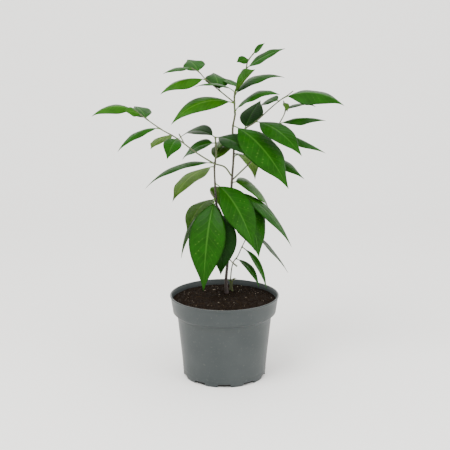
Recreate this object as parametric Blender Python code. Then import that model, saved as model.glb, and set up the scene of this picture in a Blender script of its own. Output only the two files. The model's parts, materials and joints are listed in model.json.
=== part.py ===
"""A potted date plum: a young plant on two thin stems in a round nursery pot filled with compost.

Metres, +Z up. The origin is the middle of the pot's flat underside, and the front of the plant faces -Y.
Leaves are written down as a gardener would note them: where on its stem each one sits, which way it points,
how steeply it leaves the stem, how long its blade is and how far it has bent down by its tip.
"""

from dataclasses import dataclass
from math import ceil, cos, exp, pi, radians, sin

import bmesh
import bpy
from mathutils import Vector

MM = 0.001
CLEARANCE = 0.3 * MM
UP = Vector((0.0, 0.0, 1.0))

# Pot: a 19 cm round nursery pot with a deep collar and drain notches round its foot.
POT_SIDES = 60
POT_HEIGHT = 145.3 * MM
RIM_RADIUS = 95.0 * MM
RIM_DEPTH = 2.4 * MM
COLLAR_TOP_RADIUS = 94.0 * MM
COLLAR_FOOT_RADIUS = 90.0 * MM
COLLAR_FOOT = 115.5 * MM
BODY_TOP_RADIUS = 82.6 * MM
BODY_TOP = 109.5 * MM
BASE_RADIUS = 72.4 * MM
BASE_ROUNDING = 1.4 * MM
WALL = 1.8 * MM
FLOOR = 2.6 * MM
NOTCHES = 10
NOTCH_WIDTH = 25.0 * MM
NOTCH_TOP_WIDTH = 20.5 * MM
NOTCH_HEIGHT = 5.0 * MM
NOTCH_REACH = 6.0 * MM

# Compost: level round the stems, falling a little to the pot's wall.
SOIL_TOP = 140.0 * MM
SOIL_EDGE = 135.5 * MM
SOIL_LEVEL_RADIUS = 52.0 * MM

# Stems.
STEM_SIDES = 8
TWIG_SIDES = 6
STEM_STEP = 9.0 * MM
FLARE_REACH = 9.0 * MM

# Leaves: share of the blade's length from its base, and share of its full width there.
PETIOLE_SHARE = 0.09
PETIOLE_RADIUS = 0.95 * MM
BLADE_THICKNESS = 0.014
BLADE_OUTLINE = (
    (0.00, 0.06),
    (0.06, 0.33),
    (0.16, 0.70),
    (0.29, 0.94),
    (0.43, 1.00),
    (0.57, 0.87),
    (0.71, 0.59),
    (0.84, 0.27),
    (0.93, 0.10),
)
MIDRIB_STEPS = 8

# Looks: colour, roughness, metallic.
POT_LOOK = ((0.09, 0.10, 0.10), 0.62, 0.0)
SOIL_LOOK = ((0.03, 0.02, 0.015), 0.95, 0.0)
BARK_LOOK = ((0.06, 0.04, 0.03), 0.75, 0.0)
TWIG_LOOK = ((0.10, 0.12, 0.05), 0.65, 0.0)
LEAF_LOOK = ((0.06, 0.16, 0.03), 0.45, 0.0)
YOUNG_LOOK = ((0.16, 0.28, 0.06), 0.50, 0.0)


@dataclass
class Stem:
    """A tapering limb: its parent, how far up it, the places it passes and its radii, in millimetres.

    A limb without a parent rises from the compost at its first place. One that sits at share 1 of its parent
    carries the parent on end to end.
    """

    parent: str
    share: float
    route: tuple
    foot: float
    tip: float
    flare: float = 0.0
    sides: int = TWIG_SIDES


@dataclass
class Leaf:
    """A leaf, with lengths in millimetres and angles in degrees.

    share is how far up its stem it sits, heading its bearing seen from above (0 is +X, 90 is +Y), rise its
    slope where it leaves the stem and droop how far its midrib has turned down at the tip. roll turns the blade
    about its midrib, cup lifts both halves (below 0 they hang) and bend under 1 puts the bend near the petiole.
    """

    share: float
    heading: float
    rise: float
    length: float
    width: float
    droop: float = 60
    roll: float = 0
    cup: float = -5
    bend: float = 0.7


LIMBS = {
    "trunk": Stem("", 0, ((4, 20, 140.3), (3, 20, 168), (6, 20, 205), (6, 20, 252), (10, 20, 300), (13, 20, 344),
                          (16, 20, 394), (14, 20, 429), (18, 20, 456)), 2.7, 1.7, 1.3, STEM_SIDES),
    "left_stem": Stem("trunk", 0.35, ((-1, 19, 270), (-7, 17, 287), (-14, 15, 303), (-15.5, 14, 325),
                                      (-17, 13, 363), (-15.5, 13, 380)), 2.1, 1.6, 0.0, STEM_SIDES),
}

SHOOTS = {
    "top_shoot": Stem("trunk", 1, ((17, 20, 474), (18, 20, 493), (28, 20, 516), (36, 20, 531), (39, 20, 545),
                                   (49, 18, 559)), 1.7, 1.0),
    "left_top": Stem("left_stem", 1, ((-14, 13, 392), (-15.5, 15, 419)), 1.6, 1.3),
    "left_shoot": Stem("trunk", 0.67, ((0, 12, 368), (-19, 4, 376), (-49, -5, 396), (-80, -15, 421),
                                       (-108, -25, 439), (-148, -35, 470)), 1.5, 0.9),
    "right_shoot": Stem("trunk", 0.865, ((36, 26, 432), (53, 28, 443), (78, 20, 467), (93, 10, 481),
                                         (106, 0, 491), (114, -5, 498)), 1.5, 0.8),
    "right_low_shoot": Stem("trunk", 0.65, ((49, 30, 377), (75, 38, 405), (94, 40, 438), (104, 38, 460),
                                            (101, 36, 478)), 1.5, 0.9),
    "low_branch": Stem("", 0, ((10, 39, 140.3), (12, 38, 175), (16, 37, 193), (23, 36, 203), (31, 36, 221),
                               (37, 36, 234), (46, 36, 254)), 1.3, 0.8, 0.3),
    "trunk_stub": Stem("trunk", 0.20, ((15, 16, 197), (22, 12, 192)), 0.9, 1.5),
    "stem_bud": Stem("left_stem", 0.48, ((-20, 13, 320), (-22.5, 13, 325)), 0.8, 1.4),
    "sprout": Stem("", 0, ((14, 33, 140.3), (13, 32, 150), (14, 31, 160), (17, 30, 165), (18, 29, 162)),
                   1.6, 1.1, 0.4),
}

# Side twigs that are part of a shoot.
TWIGS = {
    "top_shoot": (Stem("top_shoot", 0.18, ((-7, 15, 496), (-32, 10, 517), (-42, 8, 528), (-55, 5, 535)), 1.3, 0.8),),
    "left_shoot": (Stem("left_shoot", 0.50, ((-76, -8, 427),), 0.9, 1.2),),
}

# Leaves of each shoot, and those of its side twig.
SHOOT_LEAVES = {
    "top_shoot": (
        Leaf(0.98, -23, 44, 26, 15, 5, 50, 10, 1.0),
        Leaf(0.88, -150, 5, 23, 18, 30, -45, 0, 1.0),
        Leaf(0.73, -17, 42, 70, 30, 30, 32, 0, 1.0),
        Leaf(0.42, 123, 25, 46, 22, 20, 0, 0, 1.0),
        Leaf(0.33, -51, 44, 61, 44, 10, 50, 30, 1.0),
        Leaf(0.33, -164, 59, 70, 30, 80, -4, -5, 0.6),
        Leaf(0.27, 7, 66, 93, 40, 88, 12, -8, 0.9),
        Leaf(0.17, -155, 21, 118, 40, 72, -26, -6, 1.0),
        Leaf(0.03, -28, 69, 90, 40, 85, 22, -8, 0.8),
    ),
    "left_top": (
        Leaf(0.97, 132, 23, 95, 34, 60, -22, 10, 1.0),
        Leaf(0.97, -38, 15, 87, 50, 60, 15, 5, 0.7),
        Leaf(0.73, 167, 0, 64, 46, 55, -20, 5, 1.0),
        Leaf(0.38, 71, 29, 82, 32, 40, -20, 0, 1.0),
    ),
    "left_shoot": (
        Leaf(0.98, -172, 31, 72, 34, 75, -22, -15, 1.0),
        Leaf(0.93, -147, 34, 31, 20, 40, -45, -5, 1.0),
        Leaf(0.87, 114, 31, 63, 34, 35, -10, -8, 1.0),
        Leaf(0.74, -156, 14, 80, 28, 70, -8, -10, 0.8),
        Leaf(0.63, 130, 0, 65, 36, 45, 0, -5, 0.7),
        Leaf(0.57, -105, 8, 60, 30, 55, -15, 5, 0.7),
    ),
    "right_shoot": (
        Leaf(0.83, -12, 27, 100, 54, 66, 24, -18, 1.0),
        Leaf(0.76, 135, 14, 45, 34, 60, -25, 0, 1.0),
        Leaf(0.35, -46, 5, 110, 48, 50, 16, -4, 0.7),
        Leaf(0.18, 60, 50, 68, 42, 25, 0, 0, 1.0),
    ),
    "right_low_shoot": (
        Leaf(0.98, -73, -2, 21, 12, 60, 0, 20, 0.6),
        Leaf(0.89, 42, 35, 74, 34, 60, -5, -5, 0.8),
        Leaf(0.74, 0, 29, 77, 38, 45, 12, -15, 0.8),
        Leaf(0.67, -6, -13, 88, 44, 20, 8, -15, 0.8),
        Leaf(0.40, -28, -9, 86, 38, 30, 8, -8, 0.7),
    ),
    "low_branch": (
        Leaf(0.97, -5, -29, 95, 32, 30, 0, 0, 0.6),
        Leaf(0.70, -31, -17, 83, 20, 60, 0, 10, 0.6),
        Leaf(0.50, -33, 1, 65, 19, 75, 4, 5, 0.7),
    ),
    "trunk_stub": (),
    "stem_bud": (),
    "sprout": (
        Leaf(0.55, -160, 50, 9, 5, 20, 0, 10, 1.0),
        Leaf(0.75, 30, 40, 8, 5, 60, 0, 10, 1.0),
    ),
}
TWIG_LEAVES = {
    "top_shoot": (
        Leaf(0.98, -162, 16, 48, 28, 45, -8, -5, 0.8),
        Leaf(0.84, 113, 33, 55, 38, 30, -15, -5, 1.0),
        Leaf(0.65, -158, 16, 82, 38, 62, -20, -22, 1.0),
        Leaf(0.35, 101, 44, 60, 40, 40, 5, -5, 1.0),
    ),
    "left_shoot": (),
}

# Leaves that sit straight on the trunk and on the left stem, each a piece of its own.
SINGLE_LEAVES = {
    "trunk": {
        "trunk_leaf_1": Leaf(0.55, -18, -17, 111, 70, 70, 30, 0, 0.5),
        "trunk_leaf_2": Leaf(0.58, 5, -6, 141, 42, 60, 22, -4, 0.6),
        "trunk_leaf_3": Leaf(0.63, 36, 4, 109, 56, 85, 30, -8, 1.0),
        "trunk_leaf_4": Leaf(0.77, 58, 18, 95, 42, 105, 5, 0, 1.0),
        "trunk_leaf_5": Leaf(0.94, -41, -7, 144, 70, 50, 16, -5, 0.6),
    },
    "left_stem": {
        "stem_leaf_1": Leaf(0.33, -81, -20, 112, 54, 90, 10, 5, 0.5),
        "stem_leaf_2": Leaf(0.42, 155, -10, 122, 32, 70, 0, 0, 0.5),
        "stem_leaf_3": Leaf(0.47, 128, 5, 112, 46, 75, 5, 0, 0.6),
        "stem_leaf_4": Leaf(0.50, -111, -13, 153, 66, 72, -4, 5, 0.28),
        "stem_leaf_5": Leaf(0.64, 77, 14, 65, 32, 100, 0, 0, 0.6),
        "stem_leaf_6": Leaf(0.69, -33, -12, 127, 56, 60, 35, 5, 0.45),
        "stem_leaf_7": Leaf(0.91, 147, -5, 110, 60, 60, 8, -5, 0.8),
        "stem_leaf_8": Leaf(0.95, -178, 11, 123, 34, 62, -8, -5, 1.0),
        "stem_leaf_9": Leaf(0.97, 72, 50, 80, 34, 60, 0, 0, 0.7),
    },
}


class Line:
    """A smooth line through a route, with its place and direction at any share of its length."""

    def __init__(self, places):
        ends = [places[0] * 2 - places[1], *places, places[-1] * 2 - places[-2]]
        self.points = []
        for before, start, end, after in zip(ends, ends[1:], ends[2:], ends[3:]):
            for step in range(16):
                t = step / 16
                self.points.append(0.5 * (start * 2 + (end - before) * t
                                          + (before * 2 - start * 5 + end * 4 - after) * t * t
                                          + (start * 3 - before - end * 3 + after) * t ** 3))
        self.points.append(places[-1].copy())
        self.reach = [0.0]
        for start, end in zip(self.points, self.points[1:]):
            self.reach.append(self.reach[-1] + (end - start).length)
        self.length = self.reach[-1]

    def at(self, share):
        """Place and direction at a share of the length."""
        target = min(max(share, 0.0), 1.0) * self.length
        index = 1
        while index < len(self.reach) - 1 and self.reach[index] < target:
            index += 1
        start, end = self.points[index - 1], self.points[index]
        part = (target - self.reach[index - 1]) / (self.reach[index] - self.reach[index - 1])
        return start.lerp(end, part), (end - start).normalized()


class Limb:
    """A stem ready to be built: its line, its radii in metres and the plane that its foot is cut on."""

    def __init__(self, stem, limbs):
        places = [Vector(place) * MM for place in stem.route]
        self.foot, self.tip, self.flare = stem.foot * MM, stem.tip * MM, stem.flare * MM
        self.sides = stem.sides
        self.cut = UP
        parent = limbs.get(stem.parent)
        if parent and stem.share == 1:
            axis, along = parent.line.at(1.0)
            places.insert(0, axis + along * CLEARANCE)
            self.cut = along
        elif parent:
            axis, along = parent.line.at(stem.share)
            away = places[0] - axis
            self.cut = (away - along * away.dot(along)).normalized()
            places.insert(0, axis + self.cut * (parent.radius(stem.share) + CLEARANCE))
        self.line = Line(places)

    def radius(self, share):
        flare = self.flare * exp(-share * self.line.length / FLARE_REACH)
        return self.foot + (self.tip - self.foot) * share + flare

    def rings(self):
        """Rings of corners from foot to tip, turned as little as possible from one to the next."""
        count = max(3, ceil(self.line.length / STEM_STEP))
        shares = [step / count for step in range(count + 1)]
        if self.flare > 0:
            shares = sorted({*shares, *(reach * MM / self.line.length for reach in (2, 5))})
        lean = max(0.3, self.line.at(0.0)[1].dot(self.cut))
        clear = 1.3 * self.foot / lean / self.line.length
        shares = [share for share in shares if share == 0 or share > clear or lean > 0.95]
        rings = []
        side = Vector((1.0, 0.0, 0.0))
        for share in shares:
            centre, along = self.line.at(share)
            side = (side - along * side.dot(along)).normalized()
            front = along.cross(side)
            ring = []
            for corner in range(self.sides):
                angle = 2 * pi * corner / self.sides
                spoke = (side * cos(angle) + front * sin(angle)) * self.radius(share)
                if share == 0:
                    spoke -= along * (spoke.dot(self.cut) / along.dot(self.cut))
                ring.append(centre + spoke)
            rings.append(ring)
        return rings


def leaf_rings(leaf, limb, joined):
    """Four-cornered rings from the leaf's root to just short of its tip, and the tip itself.

    A joined leaf is rooted on its twig's axis; any other one stops short of its stem.
    """
    root, along = limb.line.at(leaf.share)
    heading, rise, roll = radians(leaf.heading), radians(leaf.rise), radians(leaf.roll)
    length = leaf.length * MM
    whole = length * (1 + PETIOLE_SHARE)
    side = Vector((-sin(heading), cos(heading), 0.0))

    def direction(share):
        pitch = rise - radians(leaf.droop) * share ** leaf.bend
        return Vector((cos(pitch) * cos(heading), cos(pitch) * sin(heading), sin(pitch)))

    start = 0.0
    cut = None
    if not joined:
        away = direction(0.0)
        away -= along * away.dot(along)
        start = (limb.radius(leaf.share) + CLEARANCE) / away.length / whole
        cut = away.normalized()
    stations = [(start, 0.0)]
    stations += [((share + PETIOLE_SHARE) / (1 + PETIOLE_SHARE), width) for share, width in BLADE_OUTLINE]
    rings = []
    centre = root.copy()
    last = 0.0
    for share, width in [*stations, (1.0, None)]:
        for step in range(MIDRIB_STEPS):
            middle = last + (share - last) * (step + 0.5) / MIDRIB_STEPS
            centre = centre + direction(middle) * ((share - last) / MIDRIB_STEPS * whole)
        last = share
        if width is None:
            break
        ahead = direction(share)
        over = ahead.cross(side)
        turn = 0.0 if width == 0 else roll
        cup = 0.0 if width == 0 else radians(leaf.cup)
        across = side * cos(turn) + over * sin(turn)
        over = over * cos(turn) - side * sin(turn)
        half = max(leaf.width * MM / 2 * width, PETIOLE_RADIUS if share < 0.2 else 0.0)
        deep = max(BLADE_THICKNESS / 2 * length, PETIOLE_RADIUS * 0.7) if share < 0.2 else BLADE_THICKNESS / 2 * length
        if share > 0.9:
            deep *= 0.7
        ring = [
            centre + (across * cos(cup) + over * sin(cup)) * half,
            centre + over * deep,
            centre + (over * sin(cup) - across * cos(cup)) * half,
            centre - over * deep,
        ]
        if cut and share == start:
            ring = [corner - ahead * ((corner - centre).dot(cut) / ahead.dot(cut)) for corner in ring]
        rings.append(ring)
    return rings, centre


def material(name, look):
    colour, roughness, metallic = look
    made = bpy.data.materials.new(name)
    made.use_nodes = True
    shader = made.node_tree.nodes["Principled BSDF"]
    shader.inputs["Base Color"].default_value = (*colour, 1.0)
    shader.inputs["Roughness"].default_value = roughness
    shader.inputs["Metallic"].default_value = metallic
    made.diffuse_color = (*colour, 1.0)
    return made


def mesh_object(name, skins, look):
    """An object of one or more closed skins, each a list of rings and a tip point or None."""
    shape = bmesh.new()
    for rings, tip in skins:
        corners = [[shape.verts.new(place) for place in ring] for ring in rings]
        sides = len(corners[0])
        shape.faces.new(corners[0])
        for low, high in zip(corners, corners[1:]):
            for side in range(sides):
                after = (side + 1) % sides
                shape.faces.new((low[side], low[after], high[after], high[side]))
        if tip is None:
            shape.faces.new(corners[-1])
        else:
            point = shape.verts.new(tip)
            for side in range(sides):
                shape.faces.new((corners[-1][side], corners[-1][(side + 1) % sides], point))
    bmesh.ops.recalc_face_normals(shape, faces=shape.faces)
    for face in shape.faces:
        face.smooth = len(face.verts) < 5
    mesh = bpy.data.meshes.new(name)
    shape.to_mesh(mesh)
    shape.free()
    mesh.materials.append(material(name, look))
    made = bpy.data.objects.new(name, mesh)
    bpy.context.scene.collection.objects.link(made)
    return made


def lathe(name, profile, look):
    """A solid of revolution about +Z from a profile of radius and height that starts and ends on the axis."""
    shape = bmesh.new()
    foot = shape.verts.new((0.0, 0.0, profile[0][1]))
    top = shape.verts.new((0.0, 0.0, profile[-1][1]))
    rings = []
    for radius, height in profile[1:-1]:
        ring = []
        for side in range(POT_SIDES):
            angle = 2 * pi * (side + 0.5) / POT_SIDES
            ring.append(shape.verts.new((radius * cos(angle), radius * sin(angle), height)))
        rings.append(ring)
    for side in range(POT_SIDES):
        after = (side + 1) % POT_SIDES
        shape.faces.new((foot, rings[0][after], rings[0][side]))
        shape.faces.new((top, rings[-1][side], rings[-1][after]))
        for low, high in zip(rings, rings[1:]):
            shape.faces.new((low[side], low[after], high[after], high[side]))
    bmesh.ops.recalc_face_normals(shape, faces=shape.faces)
    for face in shape.faces:
        face.smooth = abs(face.normal.z) < 0.5
    mesh = bpy.data.meshes.new(name)
    shape.to_mesh(mesh)
    shape.free()
    mesh.materials.append(material(name, look))
    made = bpy.data.objects.new(name, mesh)
    bpy.context.scene.collection.objects.link(made)
    return made


def combine(made, others, operation, solver):
    """Union with or cut by all the others at once; they are removed afterwards."""
    group = bpy.data.collections.new(made.name + "_tools")
    bpy.context.scene.collection.children.link(group)
    for other in others:
        bpy.context.scene.collection.objects.unlink(other)
        group.objects.link(other)
        other.hide_render = True
        other.display_type = "WIRE"
    boolean = made.modifiers.new("combine", "BOOLEAN")
    boolean.operation = operation
    boolean.operand_type = "COLLECTION"
    boolean.collection = group
    boolean.solver = solver
    bpy.context.view_layer.update()
    result = bpy.data.meshes.new_from_object(made.evaluated_get(bpy.context.evaluated_depsgraph_get()))
    made.modifiers.clear()
    made.data = result
    result.name = made.name
    for other in others:
        bpy.data.objects.remove(other)
    bpy.data.collections.remove(group)
    return made


def largest_piece(made):
    """Keeps the piece with the most volume and drops loose scraps and sealed hollows."""
    shape = bmesh.new()
    shape.from_mesh(made.data)
    shape.faces.ensure_lookup_table()
    seen = set()
    pieces = []
    for first in shape.faces:
        if first in seen:
            continue
        seen.add(first)
        piece = [first]
        for face in piece:
            for edge in face.edges:
                for near in edge.link_faces:
                    if near not in seen:
                        seen.add(near)
                        piece.append(near)
        pieces.append(piece)
    pieces.sort(key=len, reverse=True)
    scraps = [face for piece in pieces[1:] for face in piece]
    bmesh.ops.delete(shape, geom=scraps, context="FACES")
    bmesh.ops.delete(shape, geom=[vert for vert in shape.verts if not vert.link_faces], context="VERTS")
    shape.to_mesh(made.data)
    shape.free()


def pot_profile(inset):
    """Radius and height up the pot's outside, drawn in by a wall's thickness."""
    return (
        (BASE_RADIUS - inset, 0.0),
        (BODY_TOP_RADIUS - inset, BODY_TOP),
        (COLLAR_FOOT_RADIUS - inset, COLLAR_FOOT),
        (COLLAR_TOP_RADIUS - inset, POT_HEIGHT - RIM_DEPTH),
    )


def wall_radius(height, inset):
    """Radius of the pot's side at a height, drawn in by inset."""
    profile = pot_profile(inset)
    for (low_radius, low), (high_radius, high) in zip(profile, profile[1:]):
        if height <= high:
            return low_radius + (high_radius - low_radius) * (height - low) / (high - low)
    return profile[-1][0]


def build_pot():
    base, body, step, collar = pot_profile(0.0)
    inside_lift = WALL * 0.5
    profile = [
        (0.0, 0.0),
        (BASE_RADIUS - BASE_ROUNDING, 0.0),
        (wall_radius(BASE_ROUNDING, 0.0), BASE_ROUNDING),
        body,
        step,
        (collar[0], collar[1]),
        (RIM_RADIUS, POT_HEIGHT - RIM_DEPTH * 0.6),
        (RIM_RADIUS, POT_HEIGHT - 0.5 * MM),
        (RIM_RADIUS - 0.5 * MM, POT_HEIGHT),
        (COLLAR_TOP_RADIUS - WALL, POT_HEIGHT),
        (COLLAR_FOOT_RADIUS - WALL, COLLAR_FOOT + inside_lift),
        (BODY_TOP_RADIUS - WALL, BODY_TOP + inside_lift),
        (wall_radius(FLOOR, WALL), FLOOR),
        (0.0, FLOOR),
    ]
    pot = lathe("pot", profile, POT_LOOK)
    cutters = []
    for number in range(NOTCHES):
        turn = -pi / 2 + 2 * pi * number / NOTCHES
        outward = Vector((cos(turn), sin(turn), 0.0))
        across = Vector((-sin(turn), cos(turn), 0.0))
        rings = []
        for reach in (BASE_RADIUS - NOTCH_REACH, BASE_RADIUS + 6 * MM):
            rings.append([
                outward * reach - across * NOTCH_WIDTH / 2 - UP * MM,
                outward * reach + across * NOTCH_WIDTH / 2 - UP * MM,
                outward * reach + across * NOTCH_TOP_WIDTH / 2 + UP * NOTCH_HEIGHT,
                outward * reach - across * NOTCH_TOP_WIDTH / 2 + UP * NOTCH_HEIGHT,
            ])
        cutters.append(mesh_object("notch", [(rings, None)], POT_LOOK))
    return combine(pot, cutters, "DIFFERENCE", "EXACT")


def build_soil():
    inset = WALL + CLEARANCE
    lift = WALL * 0.5 + CLEARANCE
    foot = FLOOR + CLEARANCE
    profile = [
        (0.0, foot),
        (wall_radius(foot, inset), foot),
        (BODY_TOP_RADIUS - inset, BODY_TOP + lift),
        (COLLAR_FOOT_RADIUS - inset, COLLAR_FOOT + lift),
        (wall_radius(SOIL_EDGE, inset), SOIL_EDGE),
        (SOIL_LEVEL_RADIUS + 22 * MM, SOIL_EDGE + 1.6 * MM),
        (SOIL_LEVEL_RADIUS, SOIL_TOP),
        (0.0, SOIL_TOP),
    ]
    return lathe("soil", profile, SOIL_LOOK)


def build_shoot(name, limb, limbs, look):
    """A shoot with its side twigs and leaves as one solid."""
    made = mesh_object(name, [(limb.rings(), None)], look)
    parts = []
    for leaf in SHOOT_LEAVES[name]:
        rings, tip = leaf_rings(leaf, limb, True)
        parts.append(mesh_object(name + "_leaf", [(rings, tip)], look))
    for stem in TWIGS.get(name, ()):
        places = [limb.line.at(stem.share)[0], *(Vector(place) * MM for place in stem.route)]
        route = tuple(place / MM for place in places)
        twig = Limb(Stem("", 0, route, stem.foot, stem.tip), limbs)
        twig.cut = twig.line.at(0.0)[1]
        parts.append(mesh_object(name + "_twig", [(twig.rings(), None)], look))
        for leaf in TWIG_LEAVES[name]:
            rings, tip = leaf_rings(leaf, twig, True)
            parts.append(mesh_object(name + "_leaf", [(rings, tip)], look))
    if parts:
        combine(made, parts, "UNION", "MANIFOLD")
        largest_piece(made)
    return made


def build():
    for old in list(bpy.data.objects):
        bpy.data.objects.remove(old)
    build_pot()
    build_soil()
    limbs = {}
    for name, stem in {**LIMBS, **SHOOTS}.items():
        limbs[name] = Limb(stem, limbs)
    for name in LIMBS:
        mesh_object(name, [(limbs[name].rings(), None)], BARK_LOOK)
        for leaf_name, leaf in SINGLE_LEAVES[name].items():
            rings, tip = leaf_rings(leaf, limbs[name], False)
            mesh_object(leaf_name, [(rings, tip)], LEAF_LOOK)
    for name in SHOOTS:
        build_shoot(name, limbs[name], limbs, YOUNG_LOOK if name == "sprout" else TWIG_LOOK)


build()
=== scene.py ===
"""The dressed scene of the potted date plum: fine leaves, bark, compost and a moulded nursery pot.

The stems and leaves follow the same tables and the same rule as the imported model, so each fine piece lies
where the solid that it stands for lies.
"""

import json
import random
from dataclasses import dataclass
from math import ceil, cos, exp, pi, radians, sin

import bmesh
import bpy
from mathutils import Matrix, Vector, noise

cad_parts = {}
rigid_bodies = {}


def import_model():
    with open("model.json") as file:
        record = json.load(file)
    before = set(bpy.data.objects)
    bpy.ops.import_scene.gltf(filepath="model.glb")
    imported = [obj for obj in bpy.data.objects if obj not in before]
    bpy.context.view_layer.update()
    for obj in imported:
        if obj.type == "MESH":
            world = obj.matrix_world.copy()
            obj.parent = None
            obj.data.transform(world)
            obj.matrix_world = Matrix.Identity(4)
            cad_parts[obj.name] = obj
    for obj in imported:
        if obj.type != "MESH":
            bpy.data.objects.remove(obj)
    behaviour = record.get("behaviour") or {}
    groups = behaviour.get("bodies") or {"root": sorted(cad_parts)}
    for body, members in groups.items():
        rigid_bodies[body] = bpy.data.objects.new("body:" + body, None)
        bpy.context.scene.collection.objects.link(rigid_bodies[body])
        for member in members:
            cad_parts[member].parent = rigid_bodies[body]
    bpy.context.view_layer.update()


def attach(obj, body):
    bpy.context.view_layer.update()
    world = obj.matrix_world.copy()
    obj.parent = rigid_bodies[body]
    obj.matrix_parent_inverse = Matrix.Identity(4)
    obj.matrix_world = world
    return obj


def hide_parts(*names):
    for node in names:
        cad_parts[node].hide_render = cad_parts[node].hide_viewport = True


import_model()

MM = 0.001
UP = Vector((0.0, 0.0, 1.0))
BODY = "root"

# Limbs: the gap between a foot and its parent, how high a flared foot reaches, and steps per span of a line.
CLEARANCE = 0.3 * MM
FLARE_REACH = 9.0 * MM
SPAN_STEPS = 16

# Leaves: the petiole's length as a share of the blade's, and the blade's half width at shares of its length.
PETIOLE_SHARE = 0.09
BLADE_OUTLINE = (
    (0.00, 0.06),
    (0.06, 0.33),
    (0.16, 0.70),
    (0.29, 0.94),
    (0.43, 1.00),
    (0.57, 0.87),
    (0.71, 0.59),
    (0.84, 0.27),
    (0.93, 0.10),
    (1.00, 0.00),
)


@dataclass
class Stem:
    """A tapering limb: its parent, how far up it, the places it passes and its radii, in millimetres.

    A limb without a parent rises from the compost at its first place. One that sits at share 1 of its parent
    carries the parent on end to end.
    """

    parent: str
    share: float
    route: tuple
    foot: float
    tip: float
    flare: float = 0.0


@dataclass
class Leaf:
    """A leaf, with lengths in millimetres and angles in degrees.

    share is how far up its stem it sits, heading its bearing seen from above (0 is +X, 90 is +Y), rise its
    slope where it leaves the stem and droop how far its midrib has turned down at the tip. roll turns the
    blade about its midrib, cup lifts both halves (below 0 they hang) and bend under 1 puts the bend near the
    petiole.
    """

    share: float
    heading: float
    rise: float
    length: float
    width: float
    droop: float = 60
    roll: float = 0
    cup: float = -5
    bend: float = 0.7


# The trunk and the bough that forks off it.
LIMBS = {
    "trunk": Stem("", 0, ((4, 20, 140.3), (3, 20, 168), (6, 20, 205), (6, 20, 252), (10, 20, 300),
                          (13, 20, 344), (16, 20, 394), (14, 20, 429), (18, 20, 456)), 2.7, 1.7, 1.3),
    "left_stem": Stem("trunk", 0.35, ((-1, 19, 270), (-7, 17, 287), (-14, 15, 303), (-15.5, 14, 325),
                                      (-17, 13, 363), (-15.5, 13, 380)), 2.1, 1.6),
}

# The green shoots, and small stubs and sprouts.
SHOOTS = {
    "top_shoot": Stem("trunk", 1, ((17, 20, 474), (18, 20, 493), (28, 20, 516), (36, 20, 531), (39, 20, 545),
                                   (49, 18, 559)), 1.7, 1.0),
    "left_top": Stem("left_stem", 1, ((-14, 13, 392), (-15.5, 15, 419)), 1.6, 1.3),
    "left_shoot": Stem("trunk", 0.67, ((0, 12, 368), (-19, 4, 376), (-49, -5, 396), (-80, -15, 421),
                                       (-108, -25, 439), (-148, -35, 470)), 1.5, 0.9),
    "right_shoot": Stem("trunk", 0.865, ((36, 26, 432), (53, 28, 443), (78, 20, 467), (93, 10, 481),
                                         (106, 0, 491), (114, -5, 498)), 1.5, 0.8),
    "right_low_shoot": Stem("trunk", 0.65, ((49, 30, 377), (75, 38, 405), (94, 40, 438), (104, 38, 460),
                                            (101, 36, 478)), 1.5, 0.9),
    "low_branch": Stem("", 0, ((10, 39, 140.3), (12, 38, 175), (16, 37, 193), (23, 36, 203), (31, 36, 221),
                               (37, 36, 234), (46, 36, 254)), 1.3, 0.8, 0.3),
    "trunk_stub": Stem("trunk", 0.20, ((15, 16, 197), (22, 12, 192)), 0.9, 1.5),
    "stem_bud": Stem("left_stem", 0.48, ((-20, 13, 320), (-22.5, 13, 325)), 0.8, 1.4),
    "sprout": Stem("", 0, ((14, 33, 140.3), (13, 32, 150), (14, 31, 160), (17, 30, 165), (18, 29, 162)),
                   1.6, 1.1, 0.4),
}

# Side twigs that are part of a shoot.
TWIGS = {
    "top_shoot": (
        Stem("top_shoot", 0.18, ((-7, 15, 496), (-32, 10, 517), (-42, 8, 528), (-55, 5, 535)), 1.3, 0.8),
    ),
    "left_shoot": (Stem("left_shoot", 0.50, ((-76, -8, 427),), 0.9, 1.2),),
}

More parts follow.
